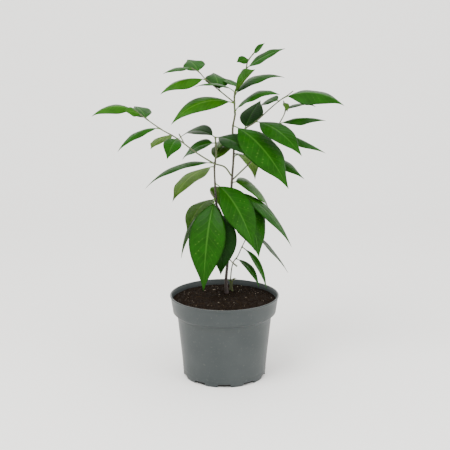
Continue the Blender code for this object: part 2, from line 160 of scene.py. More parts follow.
# Leaves of each shoot, and those of its side twig.
SHOOT_LEAVES = {
    "top_shoot": (
        Leaf(0.98, -23, 44, 26, 15, 5, 50, 10, 1.0),
        Leaf(0.88, -150, 5, 23, 18, 30, -45, 0, 1.0),
        Leaf(0.73, -17, 42, 70, 30, 30, 32, 0, 1.0),
        Leaf(0.42, 123, 25, 46, 22, 20, 0, 0, 1.0),
        Leaf(0.33, -51, 44, 61, 44, 10, 50, 30, 1.0),
        Leaf(0.33, -164, 59, 70, 30, 80, -4, -5, 0.6),
        Leaf(0.27, 7, 66, 93, 40, 88, 12, -8, 0.9),
        Leaf(0.17, -155, 21, 118, 40, 72, -26, -6, 1.0),
        Leaf(0.03, -28, 69, 90, 40, 85, 22, -8, 0.8),
    ),
    "left_top": (
        Leaf(0.97, 132, 23, 95, 34, 60, -22, 10, 1.0),
        Leaf(0.97, -38, 15, 87, 50, 60, 15, 5, 0.7),
        Leaf(0.73, 167, 0, 64, 46, 55, -20, 5, 1.0),
        Leaf(0.38, 71, 29, 82, 32, 40, -20, 0, 1.0),
    ),
    "left_shoot": (
        Leaf(0.98, -172, 31, 72, 34, 75, -22, -15, 1.0),
        Leaf(0.93, -147, 34, 31, 20, 40, -45, -5, 1.0),
        Leaf(0.87, 114, 31, 63, 34, 35, -10, -8, 1.0),
        Leaf(0.74, -156, 14, 80, 28, 70, -8, -10, 0.8),
        Leaf(0.63, 130, 0, 65, 36, 45, 0, -5, 0.7),
        Leaf(0.57, -105, 8, 60, 30, 55, -15, 5, 0.7),
    ),
    "right_shoot": (
        Leaf(0.83, -12, 27, 100, 54, 66, 24, -18, 1.0),
        Leaf(0.76, 135, 14, 45, 34, 60, -25, 0, 1.0),
        Leaf(0.35, -46, 5, 110, 48, 50, 16, -4, 0.7),
        Leaf(0.18, 60, 50, 68, 42, 25, 0, 0, 1.0),
    ),
    "right_low_shoot": (
        Leaf(0.98, -73, -2, 21, 12, 60, 0, 20, 0.6),
        Leaf(0.89, 42, 35, 74, 34, 60, -5, -5, 0.8),
        Leaf(0.74, 0, 29, 77, 38, 45, 12, -15, 0.8),
        Leaf(0.67, -6, -13, 88, 44, 20, 8, -15, 0.8),
        Leaf(0.40, -28, -9, 86, 38, 30, 8, -8, 0.7),
    ),
    "low_branch": (
        Leaf(0.97, -5, -29, 95, 32, 30, 0, 0, 0.6),
        Leaf(0.70, -31, -17, 83, 20, 60, 0, 10, 0.6),
        Leaf(0.50, -33, 1, 65, 19, 75, 4, 5, 0.7),
    ),
    "trunk_stub": (),
    "stem_bud": (),
    "sprout": (
        Leaf(0.55, -160, 50, 9, 5, 20, 0, 10, 1.0),
        Leaf(0.75, 30, 40, 8, 5, 60, 0, 10, 1.0),
    ),
}
TWIG_LEAVES = {
    "top_shoot": (
        Leaf(0.98, -162, 16, 48, 28, 45, -8, -5, 0.8),
        Leaf(0.84, 113, 33, 55, 38, 30, -15, -5, 1.0),
        Leaf(0.65, -158, 16, 82, 38, 62, -20, -22, 1.0),
        Leaf(0.35, 101, 44, 60, 40, 40, 5, -5, 1.0),
    ),
    "left_shoot": (),
}

# Leaves that sit straight on the trunk and on the left stem, each a piece of its own in the imported model.
SINGLE_LEAVES = {
    "trunk": {
        "trunk_leaf_1": Leaf(0.55, -18, -17, 111, 70, 70, 30, 0, 0.5),
        "trunk_leaf_2": Leaf(0.58, 5, -6, 141, 42, 60, 22, -4, 0.6),
        "trunk_leaf_3": Leaf(0.63, 36, 4, 109, 56, 85, 30, -8, 1.0),
        "trunk_leaf_4": Leaf(0.77, 58, 18, 95, 42, 105, 5, 0, 1.0),
        "trunk_leaf_5": Leaf(0.94, -41, -7, 144, 70, 50, 16, -5, 0.6),
    },
    "left_stem": {
        "stem_leaf_1": Leaf(0.33, -81, -20, 112, 54, 90, 10, 5, 0.5),
        "stem_leaf_2": Leaf(0.42, 155, -10, 122, 32, 70, 0, 0, 0.5),
        "stem_leaf_3": Leaf(0.47, 128, 5, 112, 46, 75, 5, 0, 0.6),
        "stem_leaf_4": Leaf(0.50, -111, -13, 153, 66, 72, -4, 5, 0.28),
        "stem_leaf_5": Leaf(0.64, 77, 14, 65, 32, 100, 0, 0, 0.6),
        "stem_leaf_6": Leaf(0.69, -33, -12, 127, 56, 60, 35, 5, 0.45),
        "stem_leaf_7": Leaf(0.91, 147, -5, 110, 60, 60, 8, -5, 0.8),
        "stem_leaf_8": Leaf(0.95, -178, 11, 123, 34, 62, -8, -5, 1.0),
        "stem_leaf_9": Leaf(0.97, 72, 50, 80, 34, 60, 0, 0, 0.7),
    },
}

# Lit and shaded tones of the leaves, in the order of the tables, as painted light and shade: d dark for a
# leaf in shade, m middle, b bright for a leaf in full light, l light for a leaf with light shining through
# it.
LIT_TONES = {
    "top_shoot": "mmmmbmmbm",
    "top_shoot twig": "mmbm",
    "left_top": "ddml",
    "left_shoot": "bbmmlm",
    "right_shoot": "mmmd",
    "right_low_shoot": "ldmmm",
    "low_branch": "dmm",
    "trunk_stub": "",
    "stem_bud": "",
    "sprout": "ll",
    "trunk": "mmblm",
    "left_stem": "dmbmbmlml",
}
LIT_TONE_ORDER = "dmbl"

# The mesh of a leaf: rows of faces from petiole to tip, corners across (-1 and 1 are the margins), the depth
# of the blade, how much of it is lost up to the tip, and small steps along the midrib between two rows.
ROWS = 30
ACROSS = (-1.0, -0.86, -0.7, -0.52, -0.34, -0.18, -0.06, 0.0, 0.06, 0.18, 0.34, 0.52, 0.7, 0.86, 1.0)
BLADE_DEPTH = 0.5 * MM
BLADE_THINNING = 0.5
MIDRIB_STEPS = 4

# Petioles: their mesh, their taper, their radius in millimetres and how it grows with the leaf, and the
# place in the leaf's UV map that gives them the colour of the midrib.
PETIOLE_STEPS = 5
PETIOLE_CORNERS = 8
PETIOLE_FOOT = 1.15
PETIOLE_TAPER = 0.05
PETIOLE_MM = 0.95
PETIOLE_LEAST = 0.5
PETIOLE_FULL_MM = 160
PETIOLE_UV = (0.3, 0.5)

# Where the blade begins it is as wide as its petiole: half width in petiole radii, and up to which share.
STALK_HALF = 0.6
STALK_END = 0.1

# Side veins: pairs on a leaf and how far they slant. The quilting follows them, in half widths.
VEIN_PAIRS = 11.0
VEIN_SLANT = 0.21
QUILT = 0.014

# Least and most, by leaf: waves of the margin, their height, and how far the halves curl, in half widths.
MARGIN_WAVES = (1.6, 2.6)
MARGIN_WAVE = (0.02, 0.05)
BLADE_CURL = (0.06, 0.14)
MARGIN_LAG = 1.3

# The groove above the midrib and the ridge below it: depth in millimetres and width in half widths.
GROOVE_MM, GROOVE_WIDTH = 0.45, 0.07
RIDGE_MM, RIDGE_WIDTH = 0.5, 0.05

# The look of a leaf. Bands say where a part is absent and where it is full. Those of veins and edge are
# measured from the midrib as a share of the width.
LEAF_SPECULAR = 0.07
LEAF_CLOUD_SCALE = 60.0
LEAF_CLOUD_BAND = (0.35, 0.65)
LEAF_SHADE = 0.72
LEAF_GRAIN_SCALE = 900.0
LEAF_GRAIN = 0.25
VEIN_WANDER = 0.05
SIDE_VEIN_WIDTH = 0.085
SIDE_VEIN_FADE = (0.49, 0.2)
SIDE_VEIN_STRENGTH = 0.30
MIDRIB_BAND = (0.042, 0.018)
MIDRIB_TAPER = 0.02
MIDRIB_STRENGTH = 0.8
EDGE_BAND = (0.46, 0.5)
EDGE_STRENGTH = 0.5

# Bark turns green between two heights, in metres; pores and dust show where a noise is above their band.
STEM_GREEN_HEIGHTS = (0.34, 0.52)
STEM_GREEN_WANDER = 0.05
PORE_BAND = (0.66, 0.72)
PORE_STRENGTH = 0.5
DUST_BAND = (0.60, 0.78)
DUST_STRENGTH = 0.25
POT_SPECULAR = 0.22
SOIL_SPECULAR = 0.06
PAPER_SPECULAR = 0.1
PAPER_SHADE = 0.985

# Sockets of the Mix node when it mixes colours.
MIX_FACTOR, MIX_FIRST, MIX_SECOND, MIX_RESULT = 0, 6, 7, 2

# The mesh of stems: sides, unevenness as a share of the radius, steps, and the swelling at each leaf.
BARK_SIDES, SHOOT_SIDES, TWIG_SIDES = 20, 14, 12
BARK_ROUGH, TWIG_ROUGH = 0.10, 0.06
TUBE_GRAIN_SCALE = 260
TUBE_STEP_MM = 1.6
TUBE_LEAST_STEPS = 12
KNOT_MM, KNOT_REACH_MM = 0.35, 2.2
TIP_ROUND = 0.6

# Feet that are cut obliquely: a foot leans if its direction along the cut's normal is under UPRIGHT.
UPRIGHT = 0.95
LEAST_LEAN = 0.3
FOOT_CLEAR = 1.3

# The pot's profile (radius, height) in millimetres, up the outside and down the inside.
POT_SIDES = 180
POT_OUTSIDE = (
    (71.0, 0.0), (71.9, 0.35), (72.4, 1.4), (72.7, 4.0), (72.95, 8.0), (73.25, 9.6), (73.1, 11.2),
    (73.3, 14.2), (73.6, 15.6), (73.5, 17.2), (75.5, 40.0), (78.6, 70.0), (81.6, 100.0), (82.6, 108.6),
    (83.0, 109.6), (84.2, 110.6), (88.6, 114.3), (89.7, 115.2), (90.1, 116.2), (91.2, 124.0), (92.7, 134.0),
    (93.8, 142.2), (94.1, 142.8), (94.8, 143.2), (95.0, 143.7), (95.0, 144.6), (94.7, 145.1), (94.2, 145.3),
)
POT_INSIDE = ((92.6, 145.3), (92.2, 144.9), (91.0, 138.0), (88.2, 116.9), (80.9, 110.6), (70.8, 2.6))

# Drain notches: how many, the reach of their cutters and their outline (across, up), in millimetres.
NOTCHES = 10
NOTCH_REACH = (66.4, 78.4)
NOTCH_OUTLINE = ((-12.5, -1.0), (12.5, -1.0), (10.6, 4.4), (9.9, 5.0), (-9.9, 5.0), (-10.6, 4.4))

# The compost's top falls near the wall, in metres; its grain is noise: scale, layer and share of the whole.
SOIL_TOP = 0.1397
FALL_START, FALL_WIDTH, FALL_DEPTH = 0.052, 0.036, 0.0038
SOIL_GRAIN = ((70, 3.0, 0.8), (260, 9.0, 0.7), (700, 5.0, 0.4))
SOIL_ROUGH_MM = 1.1
SOIL_RADIUS_MM, SOIL_CIRCLES, SOIL_SPOKES = 90.3, 90, 260
SOIL_WALL = ((87.9, 117.4), (80.5, 111.0), (70.5, 2.9))

# What lies loose on the compost: how many, how far out and how large. Pairs are the least and the most.
SCATTER_SEED = 11
CRUMBS, CRUMB_REACH_MM = 2600, 88.5
CRUMB_SIZE_MM = (0.5, 1.5)
CRUMB_STRETCH, CRUMB_HEIGHT = (0.6, 1.5), (0.5, 1.0)
CRUMB_GRAIN, CRUMB_GRAIN_SCALE = 0.35, 900
CRUMB_LIFT = 0.2
PALE_EVERY, PALE_SIZE = 26, 0.8
FIBRES, FIBRE_REACH_MM, FIBRE_LIMIT_MM = 420, 84, 88
FIBRE_LENGTH_MM, FIBRE_THICK_MM = (3, 12), (0.12, 0.35)
FIBRE_BEND, FIBRE_LIFT_MM = 0.35, 0.6
FIBRE_RINGS, FIBRE_CORNERS = 5, 5

# The paper backdrop, in metres: where its curve starts, and its radius, steps, top and half width.
SWEEP_START = 1.2
SWEEP_RADIUS = 0.9
SWEEP_STEPS = 12
WALL_TOP = 3.5
STAGE_HALF = 4.0

# Light from all round, and the camera that fits the photograph: its place in metres, its dip below level in
# degrees, and its lens and sensor in millimetres.
WORLD_STRENGTH = 1.75
CAMERA_PLACE = (0.001, -1.55, 0.623)
CAMERA_DIP = 12.87
CAMERA_LENS, CAMERA_SENSOR = 74.0, 36.0


class Line:
    """A smooth line through a route, with its place and direction at any share of its length."""

    def __init__(self, places):
        ends = [places[0] * 2 - places[1], *places, places[-1] * 2 - places[-2]]
        self.points = []
        for before, start, end, after in zip(ends, ends[1:], ends[2:], ends[3:]):
            for step in range(SPAN_STEPS):
                t = step / SPAN_STEPS
                self.points.append(0.5 * (start * 2 + (end - before) * t
                                          + (before * 2 - start * 5 + end * 4 - after) * t * t
                                          + (start * 3 - before - end * 3 + after) * t ** 3))
        self.points.append(places[-1].copy())
        self.reach = [0.0]
        for start, end in zip(self.points, self.points[1:]):
            self.reach.append(self.reach[-1] + (end - start).length)
        self.length = self.reach[-1]

    def at(self, share):
        """Place and direction at a share of the length."""
        target = min(max(share, 0.0), 1.0) * self.length
        index = 1
        while index < len(self.reach) - 1 and self.reach[index] < target:
            index += 1
        start, end = self.points[index - 1], self.points[index]
        part = (target - self.reach[index - 1]) / (self.reach[index] - self.reach[index - 1])
        return start.lerp(end, part), (end - start).normalized()


class Limb:
    """A stem ready to be built: its line, its radii in metres and the plane that its foot is cut on."""

    def __init__(self, stem, limbs):
        places = [Vector(place) * MM for place in stem.route]
        self.foot, self.tip, self.flare = stem.foot * MM, stem.tip * MM, stem.flare * MM
        self.cut = UP
        parent = limbs.get(stem.parent)
        if parent and stem.share == 1:
            axis, along = parent.line.at(1.0)
            places.insert(0, axis + along * CLEARANCE)
            self.cut = along
        elif parent:
            axis, along = parent.line.at(stem.share)
            away = places[0] - axis
            self.cut = (away - along * away.dot(along)).normalized()
            places.insert(0, axis + self.cut * (parent.radius(stem.share) + CLEARANCE))
        self.line = Line(places)

    def radius(self, share):
        """Radius at a share of the length, wider towards a flared foot."""
        flare = self.flare * exp(-share * self.line.length / FLARE_REACH)
        return self.foot + (self.tip - self.foot) * share + flare


class Nodes:
    """Short calls for building a shader."""

    def __init__(self, name, roughness, specular=0.5):
        self.material = bpy.data.materials.new(name)
        self.material.use_nodes = True
        self.tree = self.material.node_tree
        self.shader = self.tree.nodes["Principled BSDF"]
        self.shader.inputs["Roughness"].default_value = roughness
        self.shader.inputs["Specular IOR Level"].default_value = specular

    def add(self, kind, **settings):
        """A new node of a kind."""
        made = self.tree.nodes.new(kind)
        for key, value in settings.items():
            setattr(made, key, value)
        return made

    def link(self, source, target):
        """Joins an output to an input."""
        self.tree.links.new(source, target)

    def feed(self, socket, value):
        """Links a socket to another one, or sets its value."""
        if isinstance(value, bpy.types.NodeSocket):
            self.link(value, socket)
        else:
            socket.default_value = value

    def maths(self, operation, first, second=0.0):
        """A sum on one or two numbers or sockets."""
        made = self.add("ShaderNodeMath", operation=operation)
        for socket, value in zip(made.inputs, (first, second)):
            self.feed(socket, value)
        return made.outputs[0]

    def ramp(self, value, low, high):
        """0 where the value is low, 1 where it is high, straight between. Low may be the larger number."""
        made = self.add("ShaderNodeMapRange")
        self.feed(made.inputs["Value"], value)
        made.inputs["From Min"].default_value = low
        made.inputs["From Max"].default_value = high
        return made.outputs["Result"]

    def mix(self, factor, first, second):
        """The first colour where the factor is 0, the second where it is 1."""
        made = self.add("ShaderNodeMix", data_type="RGBA")
        self.feed(made.inputs[MIX_FACTOR], factor)
        self.feed(made.inputs[MIX_FIRST], first)
        self.feed(made.inputs[MIX_SECOND], second)
        return made.outputs[MIX_RESULT]

    def noise(self, scale, detail, place):
        """Cloudy values round 0.5, with the scale per metre."""
        made = self.add("ShaderNodeTexNoise")
        made.inputs["Scale"].default_value = scale
        made.inputs["Detail"].default_value = detail
        self.link(place, made.inputs["Vector"])
        return made.outputs["Fac"]

    def place(self):
        """Where a point lies on the object."""
        return self.add("ShaderNodeTexCoord").outputs["Object"]

    def split(self, vector):
        """A vector's first, second and third part."""
        made = self.add("ShaderNodeSeparateXYZ")
        self.link(vector, made.inputs[0])
        return made.outputs

    def bump(self, height, strength, distance):
        """Fine relief in the shading, with the distance in metres."""
        made = self.add("ShaderNodeBump")
        made.inputs["Strength"].default_value = strength
        made.inputs["Distance"].default_value = distance
        self.link(height, made.inputs["Height"])
        self.link(made.outputs["Normal"], self.shader.inputs["Normal"])

    def colour(self, value):
        """The colour of the surface."""
        self.feed(self.shader.inputs["Base Color"], value)


def rgb(red, green, blue):
    """An opaque colour."""
    return (red, green, blue, 1.0)


def darker(colour, share):
    """A colour with its three channels times a share."""
    return rgb(*(channel * share for channel in colour[:3]))


# The colour of the blade and of its veins for each tone: lit and shaded copies of one green, painted light
# and shade.
TOPS = {
    "d": (rgb(0.0042, 0.0312, 0.0016), rgb(0.0156, 0.0624, 0.0062)),
    "m": (rgb(0.0078, 0.0614, 0.0010), rgb(0.0312, 0.1144, 0.0104)),
    "b": (rgb(0.0177, 0.0884, 0.0016), rgb(0.0572, 0.1508, 0.0130)),
    "l": (rgb(0.0442, 0.1144, 0.0094), rgb(0.0936, 0.1768, 0.0286)),
}
UNDERS = {
    "d": (rgb(0.0120, 0.0570, 0.0060), rgb(0.0420, 0.1020, 0.0168)),
    "m": (rgb(0.0288, 0.0990, 0.0084), rgb(0.0720, 0.1560, 0.0216)),
    "b": (rgb(0.0480, 0.1320, 0.0108), rgb(0.1020, 0.1920, 0.0270)),
    "l": (rgb(0.0750, 0.1620, 0.0192), rgb(0.1380, 0.2220, 0.0396)),
}


def leaf_material(name, blade, vein, roughness):
    """A leaf side: pale midrib, thin side veins, cloudy colour between them.

    The UV map runs from the petiole (0) to the tip (1), and across from one margin (0) over the midrib (0.5)
    to the other (1).
    """
    made = Nodes(name, roughness, LEAF_SPECULAR)
    along, across, _ = made.split(made.add("ShaderNodeUVMap").outputs["UV"])
    off = made.maths("ABSOLUTE", made.maths("SUBTRACT", across, 0.5))
    cloud = made.noise(LEAF_CLOUD_SCALE, 3.0, made.place())

    wander = made.maths("MULTIPLY", made.maths("SUBTRACT", cloud, 0.5), VEIN_WANDER)
    slant = made.maths("MULTIPLY", off, 2 * VEIN_SLANT)
    march = made.maths("SUBTRACT", made.maths("ADD", along, wander), slant)
    comb = made.maths("PINGPONG", made.maths("MULTIPLY", march, VEIN_PAIRS), 0.5)
    side_vein = made.ramp(comb, SIDE_VEIN_WIDTH, 0.0)
    side_vein = made.maths("MULTIPLY", side_vein, made.ramp(off, *SIDE_VEIN_FADE))
    narrowed = made.maths("ADD", off, made.maths("MULTIPLY", along, MIDRIB_TAPER))
    midrib = made.ramp(narrowed, *MIDRIB_BAND)
    edge = made.ramp(off, *EDGE_BAND)

    dark = darker(blade, LEAF_SHADE)
    base = made.mix(made.ramp(cloud, *LEAF_CLOUD_BAND), dark, blade)
    base = made.mix(made.maths("MULTIPLY", side_vein, SIDE_VEIN_STRENGTH), base, vein)
    base = made.mix(made.maths("MULTIPLY", midrib, MIDRIB_STRENGTH), base, vein)
    base = made.mix(made.maths("MULTIPLY", edge, EDGE_STRENGTH), base, dark)
    made.colour(base)

    grain = made.maths("MULTIPLY", made.noise(LEAF_GRAIN_SCALE, 2.0, made.place()), LEAF_GRAIN)
    made.bump(made.maths("ADD", comb, grain), 0.35, 0.6 * MM)
    return made.material


def stem_material():
    """Dark purple-brown low down and olive green above, with pale breathing pores."""
    made = Nodes("stem_bark", 0.55)
    place = made.place()
    wander = made.maths("MULTIPLY", made.noise(40.0, 3.0, place), STEM_GREEN_WANDER)
    height = made.maths("ADD", made.split(place)[2], wander)
    low = made.mix(made.noise(180.0, 4.0, place), rgb(0.0078, 0.0039, 0.0039), rgb(0.0292, 0.0156, 0.0117))
    high = made.mix(made.noise(160.0, 4.0, place), rgb(0.0325, 0.0358, 0.0130), rgb(0.0780, 0.0845, 0.0260))
    base = made.mix(made.ramp(height, *STEM_GREEN_HEIGHTS), low, high)
    pores = made.ramp(made.noise(620.0, 1.0, place), *PORE_BAND)
    made.colour(made.mix(made.maths("MULTIPLY", pores, PORE_STRENGTH), base, rgb(0.1300, 0.1040, 0.0650)))
    made.bump(made.noise(420.0, 6.0, place), 0.5, 0.6 * MM)
    return made.material


def twig_material():
    """Olive green bark of this year's shoots."""
    made = Nodes("green_twig", 0.5)
    place = made.place()
    base = made.mix(made.noise(120.0, 4.0, place), rgb(0.0292, 0.0325, 0.0117), rgb(0.0780, 0.1040, 0.0292))
    made.colour(base)
    made.bump(made.noise(500.0, 4.0, place), 0.3, 0.4 * MM)
    return made.material


def pot_material():
    """Matt blue-grey plastic with a little dust on it."""
    made = Nodes("pot_plastic", 0.42, POT_SPECULAR)
    place = made.place()
    cloud = made.ramp(made.noise(18.0, 5.0, place), 0.3, 0.7)
    base = made.mix(cloud, rgb(0.0320, 0.0390, 0.0400), rgb(0.0430, 0.0500, 0.0505))
    dust = made.ramp(made.noise(260.0, 6.0, place), *DUST_BAND)
    made.colour(made.mix(made.maths("MULTIPLY", dust, DUST_STRENGTH), base, rgb(0.1320, 0.1320, 0.1200)))
    made.bump(made.noise(700.0, 3.0, place), 0.18, 0.3 * MM)
    return made.material


def soil_material(name, low, high, scale):
    """Damp compost: two colours in a fine mix."""
    made = Nodes(name, 0.92, SOIL_SPECULAR)
    place = made.place()
    made.colour(made.mix(made.ramp(made.noise(scale, 6.0, place), 0.3, 0.7), low, high))
    made.bump(made.noise(scale * 3.0, 6.0, place), 0.8, 1.0 * MM)
    return made.material


def stage_material(name, colour):
    """Plain paper."""
    made = Nodes(name, 0.9, PAPER_SPECULAR)
    made.colour(made.mix(made.noise(90.0, 2.0, made.place()), darker(colour, PAPER_SHADE), colour))
    return made.material


def finish_piece(name, shape, materials, nodes=()):
    """Makes an object of a bmesh, puts it on the body and hides the parts that it stands for."""
    mesh = bpy.data.meshes.new(name)
    shape.to_mesh(mesh)
    shape.free()
    for material in materials:
        mesh.materials.append(material)
    made = bpy.data.objects.new(name, mesh)
    bpy.context.scene.collection.objects.link(made)
    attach(made, BODY)
    if nodes:
        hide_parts(*nodes)
    return made


def join_rings(shape, low, high):
    """Smooth faces between two rings of corners, and returns them."""
    faces = []
    for corner in range(len(low)):
        after = (corner + 1) % len(low)
        faces.append(shape.faces.new((low[corner], low[after], high[after], high[corner])))
        faces[-1].smooth = True
    return faces


def smooth_width(share):
    """Share of the full width at a share of the blade, eased between the written stations."""
    table = BLADE_OUTLINE
    index = 1
    while index < len(table) - 1 and table[index][0] < share:
        index += 1
    before = table[max(index - 2, 0)]
    start, end = table[index - 1], table[index]
    after = table[min(index + 1, len(table) - 1)]
    t = (share - start[0]) / (end[0] - start[0])
    low = (end[1] - before[1]) / max(end[0] - before[0], 1e-6) * (end[0] - start[0])
    high = (after[1] - start[1]) / max(after[0] - start[0], 1e-6) * (end[0] - start[0])
    value = ((2 * t**3 - 3 * t**2 + 1) * start[1] + (t**3 - 2 * t**2 + t) * low
             + (-2 * t**3 + 3 * t**2) * end[1] + (t**3 - t**2) * high)
    return max(value, 0.0)


def leaf_frames(leaf, limb, shares):
    """Centre of the midrib and its two side directions, at shares of petiole and blade together."""
    heading, rise = radians(leaf.heading), radians(leaf.rise)
    whole = leaf.length * MM * (1 + PETIOLE_SHARE)
    side = Vector((-sin(heading), cos(heading), 0.0))

    def direction(share):
        pitch = rise - radians(leaf.droop) * share ** leaf.bend
        return Vector((cos(pitch) * cos(heading), cos(pitch) * sin(heading), sin(pitch)))

    frames = []
    centre = limb.line.at(leaf.share)[0]
    last = 0.0
    for share in shares:
        for step in range(MIDRIB_STEPS):
            middle = last + (share - last) * (step + 0.5) / MIDRIB_STEPS
            centre = centre + direction(middle) * ((share - last) / MIDRIB_STEPS * whole)
        last = share
        frames.append((centre.copy(), side, direction(share).cross(side)))
    return frames


def add_petiole(shape, uv, frames, radius, slot):
    """The round stalk of a leaf, in the colour of its midrib."""
    rings = []
    for number, (centre, side, over) in enumerate(frames):
        thick = radius * (PETIOLE_FOOT - PETIOLE_TAPER * number)
        ring = []
        for corner in range(PETIOLE_CORNERS):
            angle = 2 * pi * corner / PETIOLE_CORNERS
            ring.append(shape.verts.new(centre + side * cos(angle) * thick + over * sin(angle) * thick))
        rings.append(ring)
    faces = []
    for low, high in zip(rings, rings[1:]):
        faces += join_rings(shape, low, high)
    faces += [shape.faces.new(list(reversed(rings[0]))), shape.faces.new(rings[-1])]
    for face in faces:
        face.material_index = slot
        for loop in face.loops:
            loop[uv].uv = PETIOLE_UV


def blade_rows(shape, leaf, frames, radius, rule):
    """Rows of corners of a blade's upper and lower side, which share the two margins and the tip."""
    phase, waves = rule.uniform(0, 2 * pi), rule.uniform(*MARGIN_WAVES)
    wave, curl = rule.uniform(*MARGIN_WAVE), rule.uniform(*BLADE_CURL)
    roll, cup = radians(leaf.roll), radians(leaf.cup)
    tops, unders = [], []
    for row, (centre, side, over) in enumerate(frames[:-1]):
        share = row / ROWS
        least = radius * STALK_HALF if share < STALK_END else 0.0
        half = max(leaf.width * MM / 2 * smooth_width(share), least)
        across = side * cos(roll) + over * sin(roll)
        above = over * cos(roll) - side * sin(roll)
        upper, lower = [], []
        for v in ACROSS:
            out = abs(v)
            lift = out * sin(cup) * half
            lift += half * curl * (out * 0.5 - v * v)
            lift += QUILT * half * cos(2 * pi * VEIN_PAIRS * (share - VEIN_SLANT * out)) * sin(pi * out)
            lag = MARGIN_LAG if v > 0 else 0.0
            lift += wave * half * v * out * sin(2 * pi * waves * share + phase + lag)
            lift -= GROOVE_MM * MM * exp(-(v / GROOVE_WIDTH) ** 2)
            point = centre + across * (v * cos(cup) * half) + above * lift
            if out == 1.0:
                rim = shape.verts.new(point)
                upper.append(rim)
                lower.append(rim)
            else:
                depth = BLADE_DEPTH * (1 - BLADE_THINNING * share)
                ridge = RIDGE_MM * MM * exp(-(v / RIDGE_WIDTH) ** 2) * (1 - share)
                upper.append(shape.verts.new(point + above * depth / 2))
                lower.append(shape.verts.new(point - above * (depth / 2 + ridge)))
        tops.append(upper)
        unders.append(lower)
    tip = shape.verts.new(frames[-1][0])
    tops.append([tip] * len(ACROSS))
    unders.append([tip] * len(ACROSS))
    return tops, unders


def add_side(shape, uv, rows, slot, flip):
    """One side of a blade, with three-cornered faces at the tip."""
    for row in range(ROWS):
        for column in range(len(ACROSS) - 1):
            corners = [(row, column), (row, column + 1), (row + 1, column + 1), (row + 1, column)]
            if row == ROWS - 1:
                corners = corners[:3]
            if flip:
                corners.reverse()
            face = shape.faces.new([rows[r][c] for r, c in corners])
            face.material_index = slot
            face.smooth = True
            for loop, (r, c) in zip(face.loops, corners):
                loop[uv].uv = (r / ROWS, (ACROSS[c] + 1) / 2)


def close_blade(shape, upper, lower, slot):
    """The faces that close a blade where it starts."""
    for column in range(len(ACROSS) - 1):
        corners = []
        for vert in (upper[column], upper[column + 1], lower[column + 1], lower[column]):
            if vert not in corners:
                corners.append(vert)
        shape.faces.new(list(reversed(corners))).material_index = slot


def add_leaf(shape, uv, leaf, limb, lit_tone, seed):
    """One leaf: a round petiole and a thin blade with a groove, quilted sides and a slightly wavy margin."""
    # The leaf's tone picks a lit or shaded copy of its colours: painted light and shade.
    top_slot = LIT_TONE_ORDER.index(lit_tone)
    under_slot = top_slot + len(LIT_TONE_ORDER)
    stalk = [step / PETIOLE_STEPS * PETIOLE_SHARE / (1 + PETIOLE_SHARE) for step in range(PETIOLE_STEPS + 1)]
    blade = [(PETIOLE_SHARE + row / ROWS) / (1 + PETIOLE_SHARE) for row in range(1, ROWS + 1)]
    frames = leaf_frames(leaf, limb, stalk + blade)
    radius = min(1.0, PETIOLE_LEAST + leaf.length / PETIOLE_FULL_MM) * PETIOLE_MM * MM
    add_petiole(shape, uv, frames[:PETIOLE_STEPS + 1], radius, under_slot)
    tops, unders = blade_rows(shape, leaf, frames[PETIOLE_STEPS:], radius, random.Random(seed))
    add_side(shape, uv, tops, top_slot, False)
    add_side(shape, uv, unders, under_slot, True)
    close_blade(shape, tops[0], unders[0], under_slot)


def add_tube(shape, limb, sides, knots, seed, rough):
    """A stem with swollen knots where leaves sit and slight unevenness."""
    line = limb.line
    count = max(TUBE_LEAST_STEPS, ceil(line.length / (TUBE_STEP_MM * MM)))
    # Where a foot is cut obliquely, the rings that would reach below the cut are left out.
    lean = max(LEAST_LEAN, line.at(0.0)[1].dot(limb.cut))
    skip = int(FOOT_CLEAR * limb.foot / lean / line.length * count) if lean < UPRIGHT else 0
    side = Vector((1.0, 0.0, 0.0))
    rings = []
    for step in range(count + 1):
        share = step / count
        centre, along = line.at(share)
        side = (side - along * side.dot(along)).normalized()
        front = along.cross(side)
        if 0 < step <= skip:
            continue
        radius = limb.radius(share)
        for knot in knots:
            radius += KNOT_MM * MM * exp(-((share - knot) * line.length / (KNOT_REACH_MM * MM)) ** 2)
        ring = []
        for corner in range(sides):
            angle = 2 * pi * corner / sides
            spoke = side * cos(angle) + front * sin(angle)
            spot = centre + spoke * radius
            spoke *= radius * (1 + rough * noise.noise(spot * TUBE_GRAIN_SCALE + Vector((seed, 0, 0))))
            if step == 0:
                spoke -= along * (spoke.dot(limb.cut) / along.dot(limb.cut))
            ring.append(shape.verts.new(centre + spoke))
        rings.append(ring)
    for low, high in zip(rings, rings[1:]):
        join_rings(shape, low, high)
    shape.faces.new(list(reversed(rings[0])))
    centre = sum((vert.co for vert in rings[-1]), Vector()) / sides
    peak = shape.verts.new(centre + line.at(1.0)[1] * limb.tip * TIP_ROUND)
    for corner in range(sides):
        shape.faces.new((rings[-1][corner], rings[-1][(corner + 1) % sides], peak)).smooth = True


